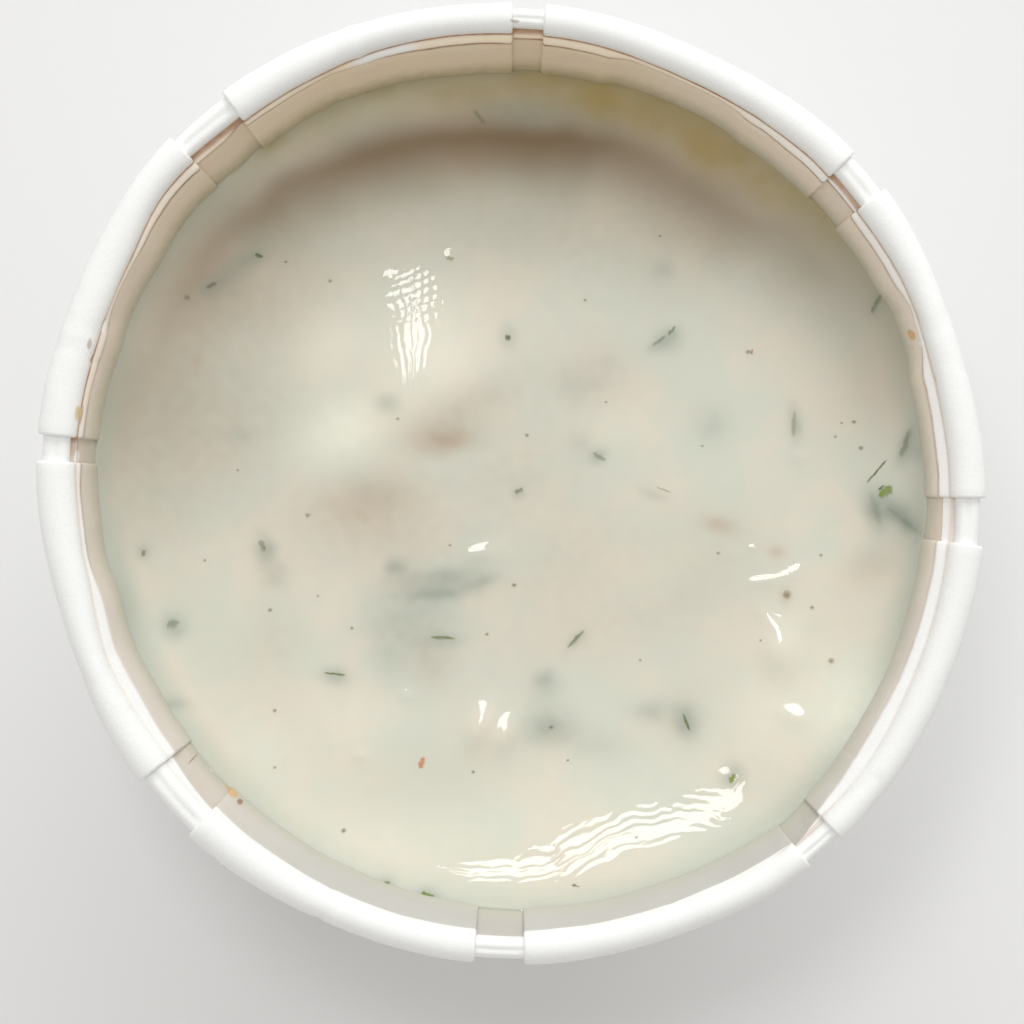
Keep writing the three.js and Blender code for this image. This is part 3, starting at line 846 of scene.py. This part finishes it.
# %% Chopped herbs
Bit = namedtuple("Bit", "px py long wide turn bare shade")
HERBS = [Bit(*row) for row in [
    (884, 492, 1.4, 1.2, 40, 0.85, 0.9), (880, 488, 0.6, 0.35, 40, 0.9, 0.2),
    (900, 520, 3.7, 0.7, -40, 0.09, 0.1), (874, 510, 3, 0.9, -74, 0.1, 0.2),
    (903, 444, 2.6, 0.8, 73, 0.13, 0.1), (259, 256, 0.75, 0.55, -20, 0.8, 0),
    (212, 286, 1, 0.6, 25, 0.4, 0), (672, 331, 1, 0.5, 50, 0.42, 0), (659, 341, 1.5, 0.5, 36, 0.35, 0.1),
    (508, 338, 0.5, 0.8, 10, 0.7, 0), (262, 546, 1.1, 0.8, -65, 0.35, 0), (174, 624, 1.2, 1, 20, 0.3, 0.2),
    (686, 722, 1.6, 0.36, -68, 0.75, 0.25), (732, 778, 0.9, 0.7, 60, 0.75, 0.9),
    (428, 893, 1.2, 0.6, -10, 0.7, 0.7), (386, 882, 0.9, 0.5, 15, 0.5, 0.5),
    (794, 424, 2.3, 0.6, 88, 0.25, 0.2), (599, 457, 1.3, 0.6, -30, 0.3, 0.2),
    (519, 491, 0.8, 0.6, 30, 0.45, 0.4), (145, 553, 0.6, 0.5, 70, 0.5, 0.5),
    (874, 305, 1.8, 0.6, 66, 0.35, 0.1), (450, 259, 0.7, 0.6, 0, 0.4, 0.5),
    (479, 117, 1.6, 0.6, -50, 0.25, 0),
]]
STEMS = [Bit(*row) for row in [
    (875.5, 471.5, 2.6, 0.26, 50, 0.9, 0.15), (335, 674, 1.9, 0.3, -6, 0.8, 0.35),
    (443, 638, 2.2, 0.42, -3, 0.55, 0.35), (576, 639, 2.1, 0.5, 46, 0.5, 0.2),
    (575, 884, 0.8, 0.2, -10, 0.6, 0.4), (664, 490, 1.4, 0.2, -20, 0.35, 0.4),
]]
LEAF_THICK, LEAF_LIFT = 0.04, 0.012
LEAF_GRID = (20, 10)
BARE_EDGE_LIFT = 0.015


def lay_bit(mesh, bit, layers, seed):
    """Adds one bit of herb to the mesh, flush with the surface."""
    shade_layer, bare_layer = layers
    middle, turn = on_photo(bit.px, bit.py), Matrix.Rotation(math.radians(bit.turn), 3, "Z")
    made = bmesh.ops.create_grid(mesh, x_segments=LEAF_GRID[0], y_segments=LEAF_GRID[1], size=0.5)["verts"]
    for vertex in made:
        u, v = vertex.co.x, vertex.co.y
        ragged = 0.8 + 0.55 * noise.noise(Vector((u * 5, (v > 0) * 3.0, seed * 1.7)))
        width = max(1 - (2 * u) ** 2, 0.02) ** 0.45 * ragged
        sunk = 0.5 - v
        torn = 0.25 * noise.noise(Vector((u * 4, v * 4, seed * 2.3)))
        bare = bit.bare * (1 - 0.7 * smooth(0.35, 1.0, sunk + torn))
        bare *= smooth(0.0, 0.3, 0.5 - abs(v)) * smooth(0.0, 0.2, 0.5 - abs(u))
        vertex[bare_layer] = bare
        vertex[shade_layer] = min(max(bit.shade + 0.35 * noise.noise(Vector((u * 4, v * 4, seed))), 0), 1)
        place = middle + turn @ Vector((u * bit.long, v * bit.wide * width, 0))
        place.z = surface(place.x, place.y) + LEAF_LIFT + BARE_EDGE_LIFT * smooth(0.0, 0.5, v)
        vertex.co = place
    faces = list({face for vertex in made for face in vertex.link_faces})
    bmesh.ops.recalc_face_normals(mesh, faces=faces)
    bmesh.ops.solidify(mesh, geom=faces, thickness=LEAF_THICK)


def joined_bits(name, bits, seed):
    """All bits of one kind as one piece."""
    mesh = bmesh.new()
    layers = [mesh.verts.layers.float.new(number) for number in ("shade", "bare")]
    for number, bit in enumerate(bits):
        lay_bit(mesh, bit, layers, seed + number)
    bmesh.ops.recalc_face_normals(mesh, faces=mesh.faces)
    return piece(name, mesh, 80)


herb_leaves = joined_bits("herb_leaves", HERBS, 1)
herb_stems = joined_bits("herb_stems", STEMS, 60)

# %% Pepper and spice
Speck = namedtuple("Speck", "px py size")
PEPPER = [Speck(*row) for row in [
    (286, 262, 0.30), (330, 281, 0.36), (188, 298, 0.5), (748, 352, 0.42), (853, 422, 0.36),
    (860, 448, 0.42), (835, 437, 0.25), (527, 435, 0.36), (398, 419, 0.3), (352, 628, 0.30),
    (487, 634, 0.34), (514, 585, 0.4), (551, 727, 0.36), (830, 660, 0.50), (811, 607, 0.36),
    (820, 555, 0.3), (718, 553, 0.3), (275, 710, 0.36), (275, 767, 0.3), (344, 830, 0.42), (473, 772, 0.3),
    (308, 515, 0.42), (270, 610, 0.36), (786, 594, 0.7), (585, 300, 0.25), (660, 236, 0.22),
    (606, 402, 0.22), (450, 545, 0.22), (841, 423, 0.22), (205, 560, 0.25), (568, 760, 0.22),
    (640, 660, 0.22), (238, 470, 0.22), (930, 447, 0.28), (574, 883, 0.3), (636, 836, 0.3),
    (318, 596, 0.22), (702, 446, 0.22), (760, 640, 0.22),
]]
FLAKES = [Bit(422, 763, 1.05, 0.75, 70, 0.75, 0.6), Bit(752, 352, 0.5, 0.35, 80, 0.6, 0.2)]
SPECK_FLATNESS, SPECK_SPREAD, SPECK_LIFT = 0.3, (1.3, 1.105), 0.02
SPECK_BARE, SPECK_ROUGH = 0.62, 0.35


def ground_specks(name, specks):
    """Rough little grains that lie in the surface, bare on top and covered at the edge."""
    mesh = bmesh.new()
    shade_layer, bare_layer = [mesh.verts.layers.float.new(number) for number in ("shade", "bare")]
    for number, speck in enumerate(specks):
        grain = bmesh.ops.create_icosphere(mesh, subdivisions=3, radius=speck.size / 2)["verts"]
        middle = on_photo(speck.px, speck.py)
        for vertex in grain:
            across = math.hypot(vertex.co.x, vertex.co.y) / (speck.size / 2)
            rough = 1 + SPECK_ROUGH * noise.noise(vertex.co * 6 + Vector((number, 0, 0)))
            place = Vector((vertex.co.x * SPECK_SPREAD[0], vertex.co.y * SPECK_SPREAD[1], 0)) * rough + middle
            place.z = surface(place.x, place.y) + SPECK_LIFT + vertex.co.z * SPECK_FLATNESS
            vertex[bare_layer] = SPECK_BARE * (1 - smooth(0.1, 1.0, across))
            vertex[shade_layer] = (number * 0.37) % 1
            vertex.co = place
    return piece(name, mesh, 180)


pepper = ground_specks("pepper_specks", PEPPER)
spice = joined_bits("spice_flakes", FLAKES, 90)

# %% [markdown]
# ## Shader maths
# A finish is worked out from numbers that change over the surface. The little class below wraps a socket, so
# that a sum such as 1 - mask reads as a sum and adds its own Math nodes. Every other node comes from one
# method, which takes the node's type, its settings and what goes into its sockets.


# %% A socket that can be added and multiplied
class Level:
    """A shader socket used like a number."""

    def __init__(self, finish, socket):
        self.finish = finish
        self.socket = socket

    def _maths(self, operation, first, second):
        return self.finish.node("ShaderNodeMath", {"operation": operation}, {0: first, 1: second})

    def __add__(self, other):
        return self._maths("ADD", self, other)

    def __sub__(self, other):
        return self._maths("SUBTRACT", self, other)

    def __rsub__(self, other):
        return self._maths("SUBTRACT", other, self)

    def __mul__(self, other):
        return self._maths("MULTIPLY", self, other)

    __radd__ = __add__
    __rmul__ = __mul__

    def wave(self):
        """The sine of the number."""
        return self._maths("SINE", self, 0.0)


class Finish:
    """A material's nodes, with one method that adds any of them."""

    def __init__(self, name):
        self.material = bpy.data.materials.new(name)
        self.material.use_nodes = True
        self.tree = self.material.node_tree
        self.shader = self.tree.nodes["Principled BSDF"]

    def feed(self, socket, value):
        """Links a socket, or sets it to a number or a colour."""
        if isinstance(value, Level):
            self.tree.links.new(value.socket, socket)
        elif hasattr(socket.default_value, "__len__") and len(socket.default_value) == 4:
            socket.default_value = (*value[:3], 1.0)
        else:
            socket.default_value = value

    def node(self, kind, settings=None, sockets=None, out=0):
        """Adds a node, sets it up, feeds its sockets and returns one of its outputs."""
        made = self.tree.nodes.new(kind)
        for name, value in (settings or {}).items():
            setattr(made, name, value)
        for key, value in (sockets or {}).items():
            self.feed(made.inputs[key], value)
        return Level(self, made.outputs[out])

    def ease(self, value, low, high):
        """0 below low, 1 above high and a smooth curve between them. low may be the larger."""
        sockets = {"Value": value, "From Min": low, "From Max": high}
        return self.node("ShaderNodeMapRange", {"interpolation_type": "SMOOTHSTEP"}, sockets)

    def blend(self, share, first, second):
        """Mixes two colours."""
        sockets = {0: share, 6: first, 7: second}
        return self.node("ShaderNodeMix", {"data_type": "RGBA"}, sockets, out=2)

    def place(self):
        """Object coordinates in millimetres."""
        spot = self.node("ShaderNodeTexCoord", out="Object")
        return self.node("ShaderNodeVectorMath", {"operation": "SCALE"}, {0: spot, "Scale": 1 / MM})

    def dot(self, first, second):
        """How far one vector reaches along another."""
        settings, sockets = {"operation": "DOT_PRODUCT"}, {0: first, 1: second}
        return self.node("ShaderNodeVectorMath", settings, sockets, out="Value")

    def number(self, name):
        """A number that was written onto the vertices."""
        return self.node("ShaderNodeAttribute", {"attribute_name": name}, out="Fac")

    def grain(self, spot, size, detail=2.0, roughness=0.5):
        """Noise whose blotches are about size millimetres across, from 0 to 1."""
        sockets = {"Vector": spot, "Scale": 1 / size, "Detail": detail, "Roughness": roughness}
        return self.node("ShaderNodeTexNoise", {}, sockets)

    def bumps(self, height, depth):
        """Tilts the surface as a height in millimetres would."""
        sockets = {"Height": height, "Distance": depth * MM, "Strength": 1.0}
        self.feed(self.shader.inputs["Normal"], self.node("ShaderNodeBump", {}, sockets))

    def wear(self, made):
        """Puts the material on a piece."""
        made.data.materials.append(self.material)
        print(made.name, "wears", self.material.name, "with", len(self.tree.nodes), "nodes")


def colour(red, green, blue):
    """A colour seen on screen, from 0 to 255, as the light that a shader works with."""
    return tuple(((part / 255 + 0.055) / 1.055) ** 2.4 for part in (red, green, blue))


print("a screen grey of 128 is", round(colour(128, 128, 128)[0], 3), "as light")

# %% [markdown]
# ## The paper's finish
# The cup is matt white paper. Below the ledge its food side has drunk oil from the dressing, which turns it
# a greyish tan. That tint is also painted shade, tan on the far, shaded side and on the ledge there, and a
# faint painted shade darkens the channels. Oil has run along the two creases as thin brown lines, which are
# also painted crease shadow. A film of cream is smeared just above the dressing's edge, a few yellow and
# orange stains stand on the ledge, and of the white patches some are unsoaked paper and some painted glints.
# Each such thing is a mask that lays one more colour over the paper's. Close up, the paper is finely
# mottled by its fibres.

# %% Paper
PAPER_WHITE = colour(247, 248, 247)
# The soaked tints are partly oil and partly painted shade.
SOAKED_AND_SHADED_GREY, SOAKED_AND_SHADED_TAN, OILY_TAN = colour(198, 197, 193), colour(253, 240, 227), colour(240, 214, 166)
# The browns of the creases are partly oil and partly painted crease shadow; the second also paints shade in
# the channels.
CREASE_OIL_AND_SHADOW = colour(186, 142, 104)
LEDGE_OIL_AND_SHADOW = colour(170, 134, 104)
SMEAR, OILY_SMEAR = colour(202, 200, 184), colour(178, 166, 124)
LEDGE_LEVEL = 33.8
YELLOW, ORANGE = colour(226, 206, 150), colour(224, 178, 116)
# The white stains are unsoaked paper in places and painted glints in others.
RUST, WHITE_AND_GLINT = colour(140, 92, 56), colour(250, 250, 248)
PaperStain = namedtuple("PaperStain", "px py long wide turn strength tint")
PAPER_STAINS = [PaperStain(*row) for row in [
    (80, 413, 1.1, 0.35, 82, 0.85, YELLOW), (83, 415, 1.5, 0.13, 80, 0.5, RUST),
    (97, 467, 1.8, 0.3, 84, 0.4, YELLOW), (92, 345, 0.8, 0.3, 80, 0.45, RUST),
    (105, 327, 0.9, 0.25, 75, 0.7, WHITE_AND_GLINT), (90, 365, 0.5, 0.25, 80, 0.8, WHITE_AND_GLINT),
    (77, 457, 1, 0.3, 85, 0.8, WHITE_AND_GLINT), (913, 334, 0.8, 0.35, -65, 0.8, ORANGE),
    (921, 344, 0.45, 0.3, -65, 0.9, WHITE_AND_GLINT), (195, 753, 0.4, 0.3, -50, 0.9, RUST),
    (190, 761, 0.7, 0.13, 52, 0.6, RUST), (209, 773, 0.6, 0.3, -45, 0.9, WHITE_AND_GLINT),
    (228, 795, 1.3, 0.4, -43, 0.75, ORANGE), (237, 805, 0.45, 0.3, -43, 0.75, RUST),
    (852, 191, 1.4, 0.3, -35, 0.8, WHITE_AND_GLINT), (515, 24, 0.7, 0.25, 0, 0.5, RUST),
]]


def stain_mask(finish, spot, stain, ragged):
    """1 in the middle of a stain, fading to 0 at its ragged edge."""
    turn = math.radians(stain.turn)
    middle = on_photo(stain.px, stain.py, LEDGE_LEVEL) + AXIS
    offset = finish.node("ShaderNodeVectorMath", {"operation": "SUBTRACT"}, {0: spot, 1: middle})
    along = finish.dot(offset, Vector((math.cos(turn), math.sin(turn), 0)) * 2 / stain.long)
    across = finish.dot(offset, Vector((-math.sin(turn), math.cos(turn), 0)) * 2 / stain.wide)
    return finish.ease(along * along + across * across + ragged, 1.7, 0.3) * stain.strength


def paper_finish():
    """White paper with the oil, the painted shade, the smears and the stains laid over it one by one."""
    paper = Finish("paper")
    spot = paper.place()
    food_side, soaked_and_shaded = paper.number("food_side"), paper.number("soaked_and_shaded")
    cloud = paper.grain(spot, 3.5, 3.0)
    blotch = paper.grain(spot, 0.8, 3.0)
    oily_side = paper.number("oily_side")
    # The soaked tint: oil, and painted shade, tan on the far side.
    drunk_and_shaded = paper.blend(paper.number("tan_and_shade_side"), SOAKED_AND_SHADED_GREY, SOAKED_AND_SHADED_TAN)
    drunk_and_shaded = paper.blend(oily_side * 0.5, drunk_and_shaded, OILY_TAN)
    tint = paper.blend(soaked_and_shaded * (0.85 + 0.25 * cloud), PAPER_WHITE, drunk_and_shaded)
    # A faint painted shade in the recess of each channel.
    tint = paper.blend(soaked_and_shaded * paper.number("channel") * 0.1, tint, LEDGE_OIL_AND_SHADOW)
    above = paper.number("above_edge") + (blotch - 0.5) * 1.2
    smear = paper.blend(oily_side, SMEAR, OILY_SMEAR)
    tint = paper.blend(soaked_and_shaded * paper.ease(above, 2.8, -0.6) * 0.9, tint, smear)
    past_roll = paper.number("past_roll_crease") + (cloud - 0.5) * 0.12
    # The brown crease lines under the roll and the ledge: oil, and painted crease shadow.
    roll_line = paper.ease(past_roll * past_roll, 0.028, 0.001) * paper.number("oil_and_shadow_under_roll")
    tint = paper.blend(roll_line * (0.5 + 0.9 * blotch), tint, CREASE_OIL_AND_SHADOW)
    past_ledge = paper.number("past_ledge_crease") + (cloud - 0.5) * 0.15
    ledge_line = paper.ease(past_ledge * past_ledge, 0.06, 0.004) * paper.number("oil_and_shadow_under_ledge")
    tint = paper.blend(ledge_line * (0.4 + 0.9 * blotch), tint, LEDGE_OIL_AND_SHADOW)
    for stain in PAPER_STAINS:
        tint = paper.blend(food_side * stain_mask(paper, spot, stain, (blotch - 0.5) * 1.4), tint, stain.tint)
    fibres = paper.grain(spot, 0.16, 3.0, 0.65)
    tint = paper.blend((fibres - 0.5) * 0.3 + 0.03, tint, colour(176, 166, 152))
    paper.feed(paper.shader.inputs["Base Color"], tint)
    paper.feed(paper.shader.inputs["Roughness"], 0.82 - 0.3 * soaked_and_shaded)
    paper.shader.inputs["Specular IOR Level"].default_value = 0.35
    paper.bumps(fibres * 0.6 + paper.grain(spot, 0.6, 2.0) * 0.6, 0.03)
    return paper


paper_finish().wear(cup)

# %% [markdown]
# ## The dressing's finish
# The cream is opaque, wet and glossy. Its body colour drifts between a cool grey-green and a warm beige, and
# the stains, the painted shade and the painted light from the vertices lie over that. The ripples tilt its
# surface through a bump. Light that enters the cream comes out again about a millimetre away, which softens
# every shade on it.

# %% Dressing
CREAM = colour(222, 220, 205)
COOL_CREAM = colour(211, 216, 203)
WARM_CREAM = colour(228, 218, 202)
SUNK_HERB = colour(137, 149, 136)
SMUDGE = colour(178, 152, 127)
# Pale fresh cream, and painted light in the south.
FRESH_AND_LIT = colour(243, 242, 225)
OILY = colour(168, 146, 84)
SHADE = colour(180, 174, 158)
FILM = colour(192, 197, 182)
BANK = colour(167, 149, 105)
# Painted shade at the bank's foot.
PAINTED_FOOT_SHADE = colour(129, 106, 75)


def dressing_finish():
    """Cream with its stains, painted shade and painted light laid over it one by one, and the ripples as a
    bump.
    """
    cream = Finish("dressing")
    spot = cream.place()
    drift = cream.grain(spot, 9.0, 2.0)
    veil = cream.grain(spot, 2.6, 3.0)
    tint = cream.blend(cream.ease(drift, 0.38, 0.62), COOL_CREAM, WARM_CREAM)
    tint = cream.blend(0.45, tint, CREAM)
    tint = cream.blend(cream.ease(veil, 0.45, 0.7) * 0.3, tint, COOL_CREAM)
    tint = cream.blend(cream.number("shaded") * 0.8, tint, SHADE)
    tint = cream.blend(cream.number("film") * 0.7, tint, FILM)
    tint = cream.blend(cream.number("bank") * (0.7 + 0.45 * veil), tint, BANK)
    tint = cream.blend(cream.number("foot"), tint, PAINTED_FOOT_SHADE)
    tint = cream.blend(cream.number("fresh_and_lit") * 0.8, tint, FRESH_AND_LIT)
    tint = cream.blend(cream.number("warm") * 0.7, tint, SMUDGE)
    tint = cream.blend(cream.number("oily") * 0.75, tint, OILY)
    tint = cream.blend(cream.number("sunk_herb") * (0.85 + 0.6 * (veil - 0.5)), tint, SUNK_HERB)
    cream.feed(cream.shader.inputs["Base Color"], tint)
    waves = [(cream.number(name + "_wave") * math.tau).wave() for name in RIPPLES]
    depths = [cream.number(name + "_depth") for name in RIPPLES]
    cream.bumps(waves[0] * depths[0] + waves[1] * depths[1], RIPPLE_UNIT)
    cream.shader.inputs["Roughness"].default_value = 0.02
    cream.shader.inputs["IOR"].default_value = 1.42
    cream.shader.inputs["Subsurface Weight"].default_value = 0.3
    cream.shader.inputs["Subsurface Radius"].default_value = (1.0, 0.8, 0.5)
    cream.shader.inputs["Subsurface Scale"].default_value = 1.2 * MM
    return cream


dressing_finish().wear(dressing)

# %% [markdown]
# ## Herbs and spice
# The bits share one recipe with different colours: each has a shade between a dark and a bright colour on
# its vertices, and is seen through the cream wherever the vertices say it is covered.


# %% Herbs, pepper and spice flakes
def bit_finish(name, dark, bright):
    """A finish between two colours, seen through the cream where a bit is covered."""
    bits = Finish(name)
    spot = bits.place()
    veins = bits.grain(spot, 0.5, 3.0)
    tint = bits.blend(bits.number("shade"), dark, bright)
    tint = bits.blend(bits.ease(veins, 0.5, 0.66) * 0.35, tint, colour(178, 186, 166))
    bits.feed(bits.shader.inputs["Base Color"], tint)
    bits.shader.inputs["Roughness"].default_value = 0.25
    bits.feed(bits.shader.inputs["Alpha"], bits.number("bare"))
    return bits


herb_finish = bit_finish("herb_green", colour(106, 116, 78), colour(140, 164, 62))
herb_finish.wear(herb_leaves)
herb_finish.wear(herb_stems)
bit_finish("ground_pepper", colour(112, 104, 78), colour(142, 134, 100)).wear(pepper)
bit_finish("spice_orange", colour(200, 130, 84), colour(240, 156, 112)).wear(spice)

# %% [markdown]
# ## Stage, lamps and camera
# The cup stands on a plain pale floor. The main light is a broad soft one from the far side, low enough for
# the rim to shade the dressing beneath it. A second lamp stands high above. It gives little light, but it is
# the one that the wet slopes mirror as highlights. The camera looks straight down, as in the photograph.

# %% Floor and world
floor_mesh = bmesh.new()
bmesh.ops.create_grid(floor_mesh, x_segments=1, y_segments=1, size=3.0)
floor_data = bpy.data.meshes.new("floor")
floor_mesh.to_mesh(floor_data)
floor_mesh.free()
floor = put_in_scene("floor", floor_data)
floor_finish = Finish("floor")
floor_finish.shader.inputs["Base Color"].default_value = (0.82, 0.82, 0.82, 1)
floor_finish.shader.inputs["Roughness"].default_value = 0.9
floor_finish.wear(floor)

world = bpy.data.worlds.new("studio")
bpy.context.scene.world = world
world.use_nodes = True
sky = world.node_tree.nodes["Background"]
sky.inputs["Color"].default_value = (1.0, 0.98, 0.95, 1)
sky.inputs["Strength"].default_value = 0.62
bpy.context.scene.view_settings.view_transform = "Standard"


# %% Lamps
def lamp(name, towards, height, away, size, power, tint, gloss):
    """A rectangular lamp aimed at the dressing, at an angle towards round the cup and an angle height up."""
    data = bpy.data.lights.new(name, "AREA")
    data.shape = "RECTANGLE"
    data.size, data.size_y = size
    data.energy = power
    data.color = tint
    made = put_in_scene(name, data)
    turn, rise = math.radians(towards), math.radians(height)
    back = Vector((math.cos(turn) * math.cos(rise), math.sin(turn) * math.cos(rise), math.sin(rise)))
    target = Vector((0, 0, LEVEL * MM))
    made.location = target + back * away
    made.rotation_mode = "QUATERNION"
    made.rotation_quaternion = back.to_track_quat("Z", "Y")
    made.visible_glossy = gloss
    print("lamp", name, "is", away, "m away with", power, "W")


lamp("soft_key", 78, 31, 1.0, (0.9, 0.5), 5.6, (0.97, 0.99, 1.0), False)
lamp("glint", 113, 71, 0.9, (0.2, 0.19), 1.31, (1, 1, 1), True)

# %% Camera
camera_data = bpy.data.cameras.new("camera")
camera = put_in_scene("camera", camera_data)
bpy.context.scene.camera = camera
camera_data.sensor_width = 36.0
camera_data.lens = camera_data.sensor_width * CAMERA_ABOVE_RIM / (FRAME_PX * MM_PER_PX_AT_RIM)
camera.location = (CAMERA_FROM_AXIS + AXIS + Vector((0, 0, CUP_HEIGHT + CAMERA_ABOVE_RIM))) * MM
camera_data.clip_start = 0.01
camera_data.clip_end = 20
print("lens", round(camera_data.lens, 1), "mm")
